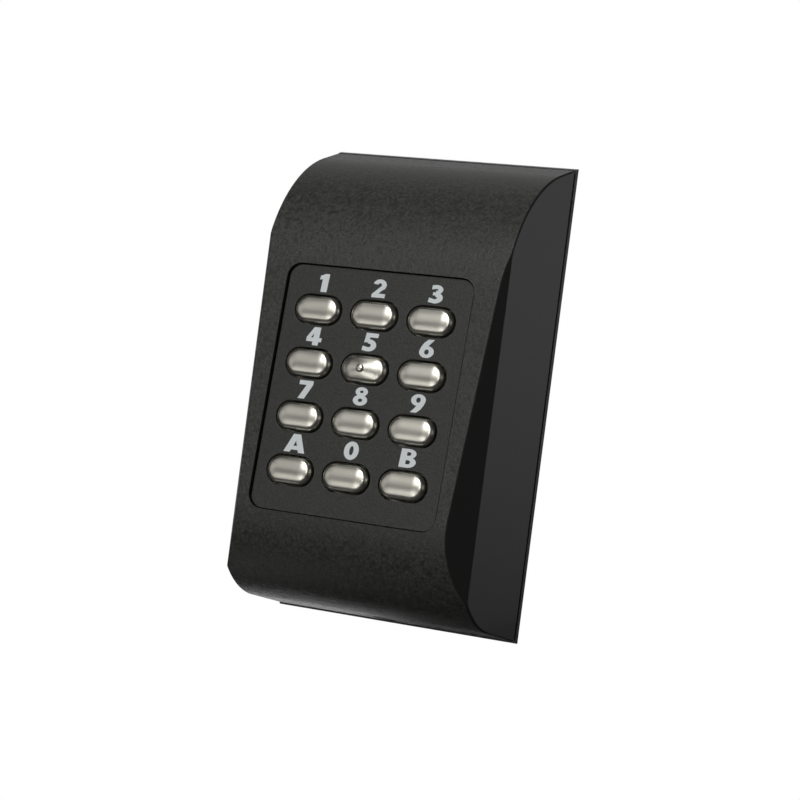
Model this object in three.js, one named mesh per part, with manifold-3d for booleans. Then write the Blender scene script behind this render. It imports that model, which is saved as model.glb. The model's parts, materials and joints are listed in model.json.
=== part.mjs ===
// Surface-mounted keypad access reader: a wedge-shaped plastic housing on a flat base plate, with
// twelve metal keys in a framed keypad insert, a silicone key mat, one circuit board and a tamper plunger.
//
// Units are millimetres. The origin is the centre of the face that lies on the wall.
// +X points right as one faces the keypad, +Y points into the wall and +Z points up.
// "Depth" is the distance out from the wall, so depth d is y = -d.
// The keypad, its keys and the circuit board lie in a tilted frame: its x and z run along the front
// face, and its y, called "level" below, counts inwards from the front face.

import * as THREE from "three";
import { mergeVertices } from "three/addons/utils/BufferGeometryUtils.js";
import Module from "manifold-3d";

const wasm = await Module();
wasm.setup();

// ---------------------------------------------------------------- driving dimensions

const WIDTH = 52;
const HEIGHT = 91.8;
const GAP = 0.3; // between pieces that touch

// The side view of the housing: a straight front face that leans back, joined by a large arc to the
// top and by a smaller arc to the underside.
const FRONT_DEPTH = 28.4; // at the middle of the keypad
const KEYPAD_HEIGHT = -3; // z of the middle of the keypad
const FRONT_TILT = THREE.MathUtils.degToRad(5.26);
const TOP_ARC_RADIUS = 27.5;
const TOP_ARC_START = 19.9; // z where the front face turns into the top arc
const LOWER_ARC_RADIUS = 19;
const UNDERSIDE_SLOPE = THREE.MathUtils.degToRad(7.3);

// The plan view: side walls with a little draft up to a ridge, then a facet that narrows the front.
const RIDGE_DEPTH = 24.6;
const SIDE_DRAFT = 0.4; // over the depth of the side wall
const FACET_SLOPE = 0.62; // sideways per unit of depth

// The two shells.
const WALL = 2;
const FLANGE = 1.2; // thickness of the base plate
const COVER_BACK = FLANGE + GAP;
const BASE_LEDGE = 0.3; // how far the base plate reaches below the cover
const REBATE_INSET = 1.2; // room for the seal inside the cover's rim
const REBATE_DEPTH = 3.6;
const RIM_DEPTH = 6;
const RIM_THICKNESS = 1.6;

// The keypad insert.
const PANEL_WIDTH = 38.8;
const PANEL_HEIGHT = 46.8;
const PANEL_CENTRE = 0.4; // z in the tilted frame
const PANEL_CORNER = 2.6;
const PANEL_GAP = 0.3;
const PANEL_LEVEL = 0.6; // the insert's face, below the front face
const PANEL_FLANGE_LEVEL = 2.4;
const PANEL_BACK_LEVEL = 3.4;
const PANEL_FLANGE_WIDTH = 40.4;
const PANEL_FLANGE_HEIGHT = 48.4;

// The keys.
const KEY_NAMES = ["1", "2", "3", "4", "5", "6", "7", "8", "9", "a", "0", "b"];
const COLUMNS = 3;
const KEY_PITCH_X = 11.9;
const KEY_PITCH_Z = 10.29;
const KEYS_X = -0.2; // middle of the keys, in the tilted frame
const KEYS_Z = 0.13;
const KEY_WIDTH = 9.5;
const KEY_HEIGHT = 5.2;
const KEY_CLEARANCE = 0.35;
const KEY_TOP_LEVEL = -0.6;
const KEY_EDGE = 1; // rounding of the cap's edge
const KEY_FLANGE_LEVEL = PANEL_BACK_LEVEL + GAP;
const KEY_BACK_LEVEL = KEY_FLANGE_LEVEL + 0.7;
const KEY_FLANGE_MARGIN = 0.65;
const NIB_KEY = "5"; // the key that is found by touch
const NIB_RADIUS = 0.7;
const NIB_HEIGHT = 0.55;
const NIB_X = -0.2; // from the middle of its key

// The silicone mat and its domes.
const DOME_LEVEL = KEY_BACK_LEVEL + GAP;
const MAT_LEVEL = 7;
const MAT_BACK_LEVEL = 8.2;
const DOME_SKIRT_LEVEL = 6.3;
const DOME_BACK_LEVEL = 7.6;
const DOME_TOP_WIDTH = 7.6;
const DOME_TOP_HEIGHT = 3.8;
const DOME_SKIRT_WIDTH = 9.4;
const DOME_SKIRT_HEIGHT = 5.6;
const DOME_WALL = 0.6;
const CONTACT_WIDTH = 5;
const CONTACT_HEIGHT = 2.4;
const MAT_WIDTH = 36.4;
const MAT_HEIGHT = 38.8;

// The circuit board and its screws.
const BOARD_LEVEL = MAT_BACK_LEVEL + GAP;
const BOARD_BACK_LEVEL = BOARD_LEVEL + 1.6;
const BOARD_WIDTH = 46;
const BOARD_HEIGHT = 56;
const PART_LEVEL = BOARD_BACK_LEVEL + GAP; // where the parts on the board's back begin
const BOSS_X = 16;
const BOSS_Z = 22;
const BOSS_RADIUS = 1.9;
const SCREW_RADIUS = 0.8;

// Through the base plate.
const CABLE_Z = 15;
const CABLE_HOLE_RADIUS = 5;
const WALL_SCREW_Z = 30;
const WALL_SCREW_RADIUS = 2.2;

// The security screw, upright through the underside.
const LOCK_DEPTH = 5.5;
const LOCK_HEAD_RADIUS = 2.1;
const LOCK_SHANK_RADIUS = 1.2;
const LOCK_HEAD_LOW = -44.3;
const LOCK_HEAD_HIGH = -42.9;

// The tamper plunger, in the tilted frame.
const TAMPER_X = 14;
const TAMPER_Z = -12.5;
const TAMPER_SWITCH_SIZE = 6.2;
const TAMPER_SWITCH_HEIGHT = 4.4;
const TAMPER_ROD_RADIUS = 1.3;
const TAMPER_COLLAR_RADIUS = 2.2;

// ---------------------------------------------------------------- materials

const MATERIALS = {
  housing: new THREE.MeshStandardMaterial({ color: 0x2b2b2a, roughness: 0.55, metalness: 0 }),
  key: new THREE.MeshStandardMaterial({ color: 0xb4b1a6, roughness: 0.3, metalness: 1 }),
  silicone: new THREE.MeshStandardMaterial({ color: 0x3c3c3e, roughness: 0.8, metalness: 0 }),
  seal: new THREE.MeshStandardMaterial({ color: 0x1c1c1c, roughness: 0.85, metalness: 0 }),
  board: new THREE.MeshStandardMaterial({ color: 0x17583a, roughness: 0.45, metalness: 0 }),
  component: new THREE.MeshStandardMaterial({ color: 0x1f1f20, roughness: 0.5, metalness: 0 }),
  terminal: new THREE.MeshStandardMaterial({ color: 0x2f7d49, roughness: 0.5, metalness: 0 }),
  steel: new THREE.MeshStandardMaterial({ color: 0xa8abad, roughness: 0.35, metalness: 1 }),
  copper: new THREE.MeshStandardMaterial({ color: 0xb0603a, roughness: 0.4, metalness: 1 }),
};

// ---------------------------------------------------------------- solids

function solidOf(geometry) {
  const plain = geometry.index ? geometry.toNonIndexed() : geometry.clone();
  plain.deleteAttribute("normal");
  plain.deleteAttribute("uv");
  const merged = mergeVertices(plain, 1e-4);
  return new wasm.Manifold(
    new wasm.Mesh({
      numProp: 3,
      vertProperties: new Float32Array(merged.attributes.position.array),
      triVerts: new Uint32Array(merged.index.array),
    }),
  );
}

function geometryOf(solid) {
  const mesh = solid.getMesh();
  const geometry = new THREE.BufferGeometry();
  geometry.setAttribute("position", new THREE.BufferAttribute(mesh.vertProperties, 3));
  geometry.setIndex(new THREE.BufferAttribute(mesh.triVerts, 1));
  const faceted = geometry.toNonIndexed();
  faceted.computeVertexNormals();
  return faceted;
}

// A shape drawn in x and z, extruded from level y0 to level y1.
function slab(shape, y0, y1, curveSegments = 6) {
  const geometry = new THREE.ExtrudeGeometry(shape, { depth: y1 - y0, bevelEnabled: false, curveSegments });
  geometry.rotateX(Math.PI / 2);
  geometry.translate(0, y1, 0);
  return solidOf(geometry);
}

function block(x0, x1, y0, y1, z0, z1) {
  const geometry = new THREE.BoxGeometry(x1 - x0, y1 - y0, z1 - z0);
  geometry.translate((x0 + x1) / 2, (y0 + y1) / 2, (z0 + z1) / 2);
  return solidOf(geometry);
}

// A round rod along y.
function rod(x, z, radius, y0, y1, sides = 20) {
  const geometry = new THREE.CylinderGeometry(radius, radius, y1 - y0, sides);
  geometry.translate(x, (y0 + y1) / 2, z);
  return solidOf(geometry);
}

// A round rod along z.
function post(x, y, radius, z0, z1, sides = 20) {
  const geometry = new THREE.CylinderGeometry(radius, radius, z1 - z0, sides);
  geometry.rotateX(Math.PI / 2);
  geometry.translate(x, y, (z0 + z1) / 2);
  return solidOf(geometry);
}

// ---------------------------------------------------------------- outlines

function roundedRectangle(width, height, radius, x = 0, z = 0) {
  const right = x + width / 2;
  const left = x - width / 2;
  const high = z + height / 2;
  const low = z - height / 2;
  const shape = new THREE.Shape();
  shape.absarc(right - radius, high - radius, radius, 0, Math.PI / 2);
  shape.absarc(left + radius, high - radius, radius, Math.PI / 2, Math.PI);
  shape.absarc(left + radius, low + radius, radius, Math.PI, 1.5 * Math.PI);
  shape.absarc(right - radius, low + radius, radius, 1.5 * Math.PI, 2 * Math.PI);
  return shape;
}

// A bar with half-round ends, centred on x and z.
function pill(width, height, x = 0, z = 0) {
  const radius = height / 2;
  const reach = width / 2 - radius;
  const shape = new THREE.Shape();
  shape.absarc(x + reach, z, radius, -Math.PI / 2, Math.PI / 2);
  shape.absarc(x - reach, z, radius, Math.PI / 2, 1.5 * Math.PI);
  return shape;
}

// The point (depth, z) where the lines n1.p = k1 and n2.p = k2 meet; each n is a unit normal.
function meet(n1, k1, n2, k2) {
  const determinant = n1.x * n2.y - n1.y * n2.x;
  return new THREE.Vector2(
    (k1 * n2.y - n1.y * k2) / determinant,
    (n1.x * k2 - k1 * n2.x) / determinant,
  );
}

// The housing's side view, moved inwards by inset and ending at the depth back; its underside lies
// the distance ledge above the bottom of the base plate.
function sideView(inset, back, ledge) {
  const frontNormal = new THREE.Vector2(Math.cos(FRONT_TILT), Math.sin(FRONT_TILT));
  const underNormal = new THREE.Vector2(Math.sin(UNDERSIDE_SLOPE), -Math.cos(UNDERSIDE_SLOPE));
  const frontReach = frontNormal.dot(new THREE.Vector2(FRONT_DEPTH, KEYPAD_HEIGHT));
  const underReach = underNormal.dot(new THREE.Vector2(0, ledge - HEIGHT / 2));

  const arcStartDepth = (frontReach - frontNormal.y * TOP_ARC_START) / frontNormal.x;
  const topCentre = new THREE.Vector2(arcStartDepth, TOP_ARC_START);
  topCentre.addScaledVector(frontNormal, -TOP_ARC_RADIUS);
  const toTopEdge = new THREE.Vector2(0, HEIGHT / 2).sub(topCentre);
  const topAngle = toTopEdge.angle() - Math.acos(TOP_ARC_RADIUS / toTopEdge.length());
  const topNormal = new THREE.Vector2(Math.cos(topAngle), Math.sin(topAngle));
  const topReach = topNormal.dot(new THREE.Vector2(0, HEIGHT / 2)) - inset;

  const lowerCentre = meet(
    frontNormal,
    frontReach - LOWER_ARC_RADIUS,
    underNormal,
    underReach - LOWER_ARC_RADIUS,
  );
  const underAngle = underNormal.angle() - 2 * Math.PI;

  const shape = new THREE.Shape();
  shape.moveTo(back, (underReach - inset - underNormal.x * back) / underNormal.y);
  shape.lineTo(back, (topReach - topNormal.x * back) / topNormal.y);
  shape.absarc(topCentre.x, topCentre.y, TOP_ARC_RADIUS - inset, topAngle, FRONT_TILT, true);
  shape.absarc(lowerCentre.x, lowerCentre.y, LOWER_ARC_RADIUS - inset, FRONT_TILT, underAngle, true);
  shape.closePath();
  return shape;
}

// The housing's plan view, moved inwards by inset and ending at the depth back.
function planView(inset, back) {
  const slope = SIDE_DRAFT / RIDGE_DEPTH;
  const sideReach = WIDTH / 2 - inset * Math.hypot(1, slope);
  const ridge = WIDTH / 2 - SIDE_DRAFT;
  const facetReach = ridge + FACET_SLOPE * RIDGE_DEPTH - inset * Math.hypot(1, FACET_SLOPE);
  const bend = (facetReach - sideReach) / (FACET_SLOPE - slope);
  const far = FRONT_DEPTH + 8;
  const right = [
    [sideReach - slope * back, back],
    [sideReach - slope * bend, bend],
    [facetReach - FACET_SLOPE * far, far],
  ];
  const left = right.map(([x, depth]) => [-x, depth]).reverse();
  return new THREE.Shape([...right, ...left].map(([x, depth]) => new THREE.Vector2(x, depth)));
}

// The solid that both views enclose.
function housingSolid(inset, back, ledge = BASE_LEDGE) {
  const side = new THREE.ExtrudeGeometry(sideView(inset, back, ledge), {
    depth: WIDTH + 4,
    bevelEnabled: false,
    curveSegments: 10,
  });
  side.translate(0, 0, -WIDTH / 2 - 2);
  const toWorld = new THREE.Matrix4().makeBasis(
    new THREE.Vector3(0, -1, 0),
    new THREE.Vector3(0, 0, 1),
    new THREE.Vector3(-1, 0, 0),
  );
  side.applyMatrix4(toWorld);

  const plan = new THREE.ExtrudeGeometry(planView(inset, back), { depth: HEIGHT + 8, bevelEnabled: false });
  plan.translate(0, 0, -HEIGHT / 2 - 4);
  plan.applyMatrix4(
    new THREE.Matrix4().makeBasis(
      new THREE.Vector3(-1, 0, 0),
      new THREE.Vector3(0, -1, 0),
      new THREE.Vector3(0, 0, 1),
    ),
  );
  return solidOf(side).intersect(solidOf(plan));
}

// ---------------------------------------------------------------- the scene graph

const reader = new THREE.Group();
const keypad = new THREE.Group();
keypad.position.set(0, -FRONT_DEPTH, KEYPAD_HEIGHT);
keypad.rotation.x = -FRONT_TILT;
keypad.updateMatrix();
reader.add(keypad);

function add(group, name, solid, material) {
  const mesh = new THREE.Mesh(geometryOf(solid), MATERIALS[material]);
  mesh.name = name;
  group.add(mesh);
}

// A solid made in the tilted frame, turned into the housing's frame.
function tilted(solid) {
  return solidOf(geometryOf(solid).applyMatrix4(keypad.matrix));
}

function keyPlaces() {
  const rows = KEY_NAMES.length / COLUMNS;
  return KEY_NAMES.map((name, index) => ({
    name,
    x: KEYS_X + ((index % COLUMNS) - (COLUMNS - 1) / 2) * KEY_PITCH_X,
    z: KEYS_Z + ((rows - 1) / 2 - Math.floor(index / COLUMNS)) * KEY_PITCH_Z,
  }));
}

function bossPlaces() {
  return [-1, 1].flatMap((side) =>
    [-1, 1].map((end) => ({ x: side * BOSS_X, z: PANEL_CENTRE + end * BOSS_Z })),
  );
}

// ---------------------------------------------------------------- front cover

const LOCK_PAD_RADIUS = 4;
const LOCK_PAD_TOP = -41.3;

function frontCover() {
  const cavity = housingSolid(WALL, -1);
  const rebate = housingSolid(REBATE_INSET, -1).intersect(
    block(-WIDTH, WIDTH, -REBATE_DEPTH, 1, -HEIGHT, HEIGHT),
  );
  const lockPad = post(0, -LOCK_DEPTH, LOCK_PAD_RADIUS, -HEIGHT / 2, LOCK_PAD_TOP).intersect(
    housingSolid(WALL / 2, REBATE_DEPTH),
  );
  const window = slab(
    roundedRectangle(
      PANEL_WIDTH + 2 * PANEL_GAP,
      PANEL_HEIGHT + 2 * PANEL_GAP,
      PANEL_CORNER + PANEL_GAP,
      0,
      PANEL_CENTRE,
    ),
    -3,
    3,
  );
  const counterbore = post(0, -LOCK_DEPTH, LOCK_HEAD_RADIUS + GAP, -HEIGHT / 2 - 2, LOCK_HEAD_HIGH + GAP);
  const screwHole = post(0, -LOCK_DEPTH, LOCK_SHANK_RADIUS + GAP, -HEIGHT / 2 - 2, LOCK_PAD_TOP + 2);
  return housingSolid(0, COVER_BACK)
    .subtract(cavity)
    .subtract(rebate)
    .add(lockPad)
    .subtract(counterbore)
    .subtract(screwHole)
    .subtract(tilted(window));
}

// ---------------------------------------------------------------- keypad insert, keys and mat

function keypadPanel() {
  let panel = slab(
    roundedRectangle(PANEL_WIDTH, PANEL_HEIGHT, PANEL_CORNER, 0, PANEL_CENTRE),
    PANEL_LEVEL,
    PANEL_BACK_LEVEL,
  );
  const flange = slab(
    roundedRectangle(PANEL_FLANGE_WIDTH, PANEL_FLANGE_HEIGHT, PANEL_CORNER + 1, 0, PANEL_CENTRE),
    PANEL_FLANGE_LEVEL,
    PANEL_BACK_LEVEL,
  );
  panel = panel.add(flange);
  for (const { x, z } of bossPlaces()) {
    panel = panel.add(rod(x, z, BOSS_RADIUS, PANEL_BACK_LEVEL - 0.5, BOARD_LEVEL - GAP, 16));
    panel = panel.subtract(rod(x, z, SCREW_RADIUS + GAP, PANEL_BACK_LEVEL + 0.6, BOARD_LEVEL, 12));
  }
  for (const { x, z } of keyPlaces()) {
    const hole = pill(KEY_WIDTH + 2 * KEY_CLEARANCE, KEY_HEIGHT + 2 * KEY_CLEARANCE, x, z);
    panel = panel.subtract(slab(hole, PANEL_LEVEL - 1, PANEL_BACK_LEVEL + 1, 4));
  }
  return panel;
}

// A metal cap with rounded edges, its stem and the flange that keeps it behind the insert.
function key(x, z, marked) {
  const cap = new THREE.ExtrudeGeometry(pill(KEY_WIDTH - 2 * KEY_EDGE, KEY_HEIGHT - 2 * KEY_EDGE, x, z), {
    depth: KEY_BACK_LEVEL - KEY_TOP_LEVEL - 2 * KEY_EDGE,
    bevelThickness: KEY_EDGE,
    bevelSize: KEY_EDGE,
    bevelSegments: 2,
    curveSegments: 4,
  });
  cap.rotateX(Math.PI / 2);
  cap.translate(0, KEY_BACK_LEVEL - KEY_EDGE, 0);
  const flange = pill(KEY_WIDTH + 2 * KEY_FLANGE_MARGIN, KEY_HEIGHT + 2 * KEY_FLANGE_MARGIN, x, z);
  const solid = solidOf(cap).add(slab(flange, KEY_FLANGE_LEVEL, KEY_BACK_LEVEL, 4));
  if (!marked) return solid;
  const nib = new THREE.SphereGeometry(NIB_RADIUS, 12, 8);
  nib.scale(1, NIB_HEIGHT / NIB_RADIUS, 1);
  nib.translate(x + NIB_X, KEY_TOP_LEVEL, z);
  return solid.add(solidOf(nib));
}

// A silicone dome: a pedestal under the key, a hollow skirt and the contact post inside it.
function keyDome(x, z) {
  const roof = DOME_SKIRT_LEVEL + DOME_WALL;
  const pedestal = slab(pill(DOME_TOP_WIDTH, DOME_TOP_HEIGHT, x, z), DOME_LEVEL, roof, 3);
  const skirt = slab(pill(DOME_SKIRT_WIDTH, DOME_SKIRT_HEIGHT, x, z), DOME_SKIRT_LEVEL, DOME_BACK_LEVEL, 3);
  const hollow = slab(
    pill(DOME_SKIRT_WIDTH - 2 * DOME_WALL, DOME_SKIRT_HEIGHT - 2 * DOME_WALL, x, z),
    roof,
    DOME_BACK_LEVEL + 1,
    3,
  );
  const contact = slab(pill(CONTACT_WIDTH, CONTACT_HEIGHT, x, z), DOME_SKIRT_LEVEL, DOME_BACK_LEVEL, 3);
  return pedestal.add(skirt).subtract(hollow).add(contact);
}

function keypadMat() {
  let mat = slab(roundedRectangle(MAT_WIDTH, MAT_HEIGHT, 2, KEYS_X, KEYS_Z), MAT_LEVEL, MAT_BACK_LEVEL, 4);
  for (const { x, z } of keyPlaces()) {
    const hole = pill(DOME_SKIRT_WIDTH + 2 * GAP, DOME_SKIRT_HEIGHT + 2 * GAP, x, z);
    mat = mat.subtract(slab(hole, MAT_LEVEL - 1, MAT_BACK_LEVEL + 1, 3));
  }
  return mat;
}

// ---------------------------------------------------------------- circuit board and what is on it

function circuitBoard() {
  let board = slab(
    roundedRectangle(BOARD_WIDTH, BOARD_HEIGHT, 1.5, 0, PANEL_CENTRE),
    BOARD_LEVEL,
    BOARD_BACK_LEVEL,
    2,
  );
  for (const { x, z } of bossPlaces()) {
    board = board.subtract(rod(x, z, SCREW_RADIUS + GAP, BOARD_LEVEL - 1, BOARD_BACK_LEVEL + 1, 12));
  }
  return board;
}

// A pan-head screw along y with a cross-slot in its head.
function boardScrew(x, z) {
  const headTop = PART_LEVEL + 1.1;
  const slot = block(x - 1.1, x + 1.1, headTop - 0.5, headTop + 1, z - 0.22, z + 0.22).add(
    block(x - 0.22, x + 0.22, headTop - 0.5, headTop + 1, z - 1.1, z + 1.1),
  );
  return rod(x, z, 1.8, PART_LEVEL, headTop, 16)
    .add(rod(x, z, SCREW_RADIUS, PANEL_BACK_LEVEL + 1.2, PART_LEVEL + 0.5, 12))
    .subtract(slot);
}

const COIL_WIDTH = 45;
const COIL_HEIGHT = 54.6;
const COIL_CORNER = 3;
const COIL_THICKNESS = 1.5;

function antennaCoil() {
  const outer = roundedRectangle(COIL_WIDTH, COIL_HEIGHT, COIL_CORNER, 0, PANEL_CENTRE);
  const inner = roundedRectangle(
    COIL_WIDTH - 2 * COIL_THICKNESS,
    COIL_HEIGHT - 2 * COIL_THICKNESS,
    COIL_CORNER - COIL_THICKNESS / 2,
    0,
    PANEL_CENTRE,
  );
  return slab(outer, MAT_LEVEL + 0.2, MAT_BACK_LEVEL, 4).subtract(
    slab(inner, MAT_LEVEL - 1, MAT_BACK_LEVEL + 1, 4),
  );
}

const TERMINALS = 6;
const TERMINAL_PITCH = 3.5;
const TERMINAL_Z = 3;
const TERMINAL_BACK_LEVEL = PART_LEVEL + 8.4;
const TERMINAL_SCREW_RADIUS = 1.15;

function terminalX(index) {
  return (index - (TERMINALS - 1) / 2) * TERMINAL_PITCH;
}

// A stepped block with a wire entry and a screw well for each terminal.
function terminalBlock() {
  const half = (TERMINALS * TERMINAL_PITCH) / 2;
  let body = block(-half, half, PART_LEVEL, TERMINAL_BACK_LEVEL - 2, TERMINAL_Z - 3.6, TERMINAL_Z + 3.6);
  body = body.add(
    block(-half, half, PART_LEVEL, TERMINAL_BACK_LEVEL, TERMINAL_Z - 2.2, TERMINAL_Z + 2.2),
  );
  for (let index = 0; index < TERMINALS; index += 1) {
    const x = terminalX(index);
    const entry = block(x - 1.1, x + 1.1, PART_LEVEL + 1, PART_LEVEL + 3.6, TERMINAL_Z + 1, TERMINAL_Z + 5);
    const well = rod(x, TERMINAL_Z, TERMINAL_SCREW_RADIUS + GAP, PART_LEVEL + 4.2, TERMINAL_BACK_LEVEL + 1, 12);
    body = body.subtract(entry).subtract(well);
  }
  return body;
}

function terminalScrew(x) {
  const head = TERMINAL_BACK_LEVEL - 0.8;
  const slot = block(x - 2, x + 2, head - 0.6, head + 1, TERMINAL_Z - 0.25, TERMINAL_Z + 0.25);
  return rod(x, TERMINAL_Z, TERMINAL_SCREW_RADIUS, PART_LEVEL + 4.5, head, 12).subtract(slot);
}

// The parts on the board's back: x and z in the tilted frame, and their sizes.
const CONTROLLER_CHIP = { x: -7, z: 19.5, width: 8, height: 8.4, thickness: 1.7, leads: 8 };
const READER_CHIP = { x: 11, z: 14, width: 6, height: 6, thickness: 1.6, leads: 4 };
const BUZZER = { x: -14, z: -12.5, radius: 6, holeRadius: 1.1, thickness: 5.6 };
const CRYSTAL = { x: -12, z: 11.4, width: 10.4, height: 4.2, thickness: 3.4, rim: 0.3 };
const CAPACITOR = { x: 1.5, z: -12, radius: 3.15, thickness: 6.6, foot: 3.3 };
const REGULATOR = { x: 1.5, z: -20, width: 6.6, tabWidth: 5.4, thickness: 2.2 };

// A chip with leads along two sides.
function chip({ x, z, width, height, thickness, leads }) {
  const lift = 0.4;
  let body = block(
    x - width / 2,
    x + width / 2,
    PART_LEVEL + lift,
    PART_LEVEL + thickness,
    z - height / 2,
    z + height / 2,
  );
  const pitch = height / leads;
  for (let index = 0; index < leads; index += 1) {
    const leadZ = z + (index - (leads - 1) / 2) * pitch;
    for (const side of [-1, 1]) {
      const inner = x + side * (width / 2 - 0.3);
      const outer = x + side * (width / 2 + 1);
      const low = Math.min(inner, outer);
      const high = Math.max(inner, outer);
      body = body.add(
        block(low, high, PART_LEVEL, PART_LEVEL + lift + 0.3, leadZ - pitch / 5, leadZ + pitch / 5),
      );
    }
  }
  return body;
}

function buzzer() {
  const { x, z, radius, holeRadius, thickness } = BUZZER;
  return rod(x, z, radius, PART_LEVEL, PART_LEVEL + thickness, 28).subtract(
    rod(x, z, holeRadius, PART_LEVEL + 4, PART_LEVEL + thickness + 1, 12),
  );
}

// A low metal can on a wider rim.
function crystal() {
  const { x, z, width, height, thickness, rim } = CRYSTAL;
  return slab(pill(width, height, x, z), PART_LEVEL + 0.5, PART_LEVEL + thickness, 4).add(
    slab(pill(width + 2 * rim, height + 2 * rim, x, z), PART_LEVEL, PART_LEVEL + 0.5, 4),
  );
}

// A can on a square foot.
function filterCapacitor() {
  const { x, z, radius, thickness, foot } = CAPACITOR;
  return rod(x, z, radius, PART_LEVEL + 0.9, PART_LEVEL + thickness, 24).add(
    block(x - foot, x + foot, PART_LEVEL, PART_LEVEL + 1, z - foot, z + foot),
  );
}

// A block with a soldered tab.
function voltageRegulator() {
  const { x, z, width, tabWidth, thickness } = REGULATOR;
  return block(x - width / 2, x + width / 2, PART_LEVEL, PART_LEVEL + thickness, z - 3, z + 2).add(
    block(x - tabWidth / 2, x + tabWidth / 2, PART_LEVEL, PART_LEVEL + 0.5, z + 1.5, z + 3.4),
  );
}

// ---------------------------------------------------------------- tamper switch

function tamperSwitch() {
  const half = TAMPER_SWITCH_SIZE / 2;
  const back = PART_LEVEL + TAMPER_SWITCH_HEIGHT;
  return block(TAMPER_X - half, TAMPER_X + half, PART_LEVEL, back, TAMPER_Z - half, TAMPER_Z + half).subtract(
    rod(TAMPER_X, TAMPER_Z, TAMPER_ROD_RADIUS + GAP, PART_LEVEL + 1, back + 1),
  );
}

// The level of the wall plane along the plunger.
function wallLevel() {
  const depthAtFront = FRONT_DEPTH - TAMPER_Z * Math.sin(FRONT_TILT);
  return depthAtFront / Math.cos(FRONT_TILT);
}

// A rod from the switch to the wall plane, with a collar that stops it behind the base plate.
function tamperPlunger() {
  const tip = wallLevel() - 0.15;
  const collar = tip - FLANGE - 2.2;
  return rod(TAMPER_X, TAMPER_Z, TAMPER_ROD_RADIUS, PART_LEVEL + 1.9, tip).add(
    rod(TAMPER_X, TAMPER_Z, TAMPER_COLLAR_RADIUS, collar - 1.2, collar),
  );
}

// ---------------------------------------------------------------- base plate

const LOCK_BOSS_TOP = -35;
const LOCK_BOSS_HALF_WIDTH = 3.6;
const LOCK_BOSS_WALL = 3.4;

function basePlate() {
  const plate = housingSolid(0, 0, 0).intersect(block(-WIDTH, WIDTH, -FLANGE, 0, -HEIGHT, HEIGHT));
  const rimOuter = housingSolid(WALL + GAP, 0);
  const rimInner = housingSolid(WALL + GAP + RIM_THICKNESS, -1);
  const rimBand = block(-WIDTH, WIDTH, -RIM_DEPTH, -FLANGE / 2, -HEIGHT, HEIGHT);
  const rim = rimOuter.subtract(rimInner).intersect(rimBand);
  const lockNotch = block(
    -LOCK_PAD_RADIUS - GAP,
    LOCK_PAD_RADIUS + GAP,
    -RIM_DEPTH - 1,
    -FLANGE,
    -HEIGHT / 2,
    LOCK_PAD_TOP + GAP,
  );
  const lockBoss = block(
    -LOCK_BOSS_HALF_WIDTH,
    LOCK_BOSS_HALF_WIDTH,
    -LOCK_DEPTH - LOCK_BOSS_WALL,
    -FLANGE / 2,
    LOCK_PAD_TOP + GAP,
    LOCK_BOSS_TOP,
  );
  const lockBore = post(0, -LOCK_DEPTH, LOCK_SHANK_RADIUS + GAP, LOCK_PAD_TOP - 1, LOCK_BOSS_TOP + 1);
  const tamperHole = tilted(
    rod(TAMPER_X, TAMPER_Z, TAMPER_ROD_RADIUS + 0.45, wallLevel() - FLANGE - 2, wallLevel() + 2),
  );
  let base = plate.add(rim).subtract(lockNotch).add(lockBoss).subtract(lockBore).subtract(tamperHole);
  base = base.subtract(rod(0, CABLE_Z, CABLE_HOLE_RADIUS, -FLANGE - 1, 1, 24));
  for (const end of [-1, 1]) {
    base = base.subtract(rod(0, end * WALL_SCREW_Z, WALL_SCREW_RADIUS, -FLANGE - 1, 1));
  }
  return base;
}

// A strip of seal all round, between the cover's rebate and the base plate's rim.
function coverSeal() {
  const outer = housingSolid(REBATE_INSET + 0.2, 0);
  const inner = housingSolid(WALL + GAP - 0.2, -1);
  const band = block(-WIDTH, WIDTH, -REBATE_DEPTH + 0.3, -FLANGE - 0.3, -HEIGHT, HEIGHT);
  const notch = block(
    -LOCK_PAD_RADIUS - GAP,
    LOCK_PAD_RADIUS + GAP,
    -REBATE_DEPTH,
    0,
    -HEIGHT / 2,
    LOCK_PAD_TOP,
  );
  return outer.subtract(inner).intersect(band).subtract(notch);
}

// A rubber ring that grips the edge of the cable hole.
function cableGrommet() {
  const bore = 3.4;
  const neck = CABLE_HOLE_RADIUS - GAP;
  const lip = CABLE_HOLE_RADIUS + 1.8;
  const inside = FLANGE + GAP;
  const profile = [
    [bore, 0.2],
    [neck, 0.2],
    [neck, inside],
    [lip, inside],
    [lip - 0.4, inside + 1.2],
    [bore + 0.4, inside + 1.6],
    [bore, inside + 1.2],
    [bore, 0.2],
  ];
  const geometry = new THREE.LatheGeometry(
    profile.map(([radius, depth]) => new THREE.Vector2(radius, depth)),
    28,
  );
  geometry.rotateX(Math.PI);
  geometry.translate(0, 0, CABLE_Z);
  return solidOf(geometry);
}

// The screw that locks the cover to the base plate.
function securityScrew() {
  const socket = post(0, -LOCK_DEPTH, 0.95, LOCK_HEAD_LOW - 1, LOCK_HEAD_LOW + 0.9, 6);
  return post(0, -LOCK_DEPTH, LOCK_HEAD_RADIUS, LOCK_HEAD_LOW, LOCK_HEAD_HIGH, 24)
    .add(post(0, -LOCK_DEPTH, LOCK_SHANK_RADIUS, LOCK_HEAD_HIGH - 0.5, LOCK_BOSS_TOP - 0.5, 16))
    .subtract(socket);
}

// ---------------------------------------------------------------- assembly

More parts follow.
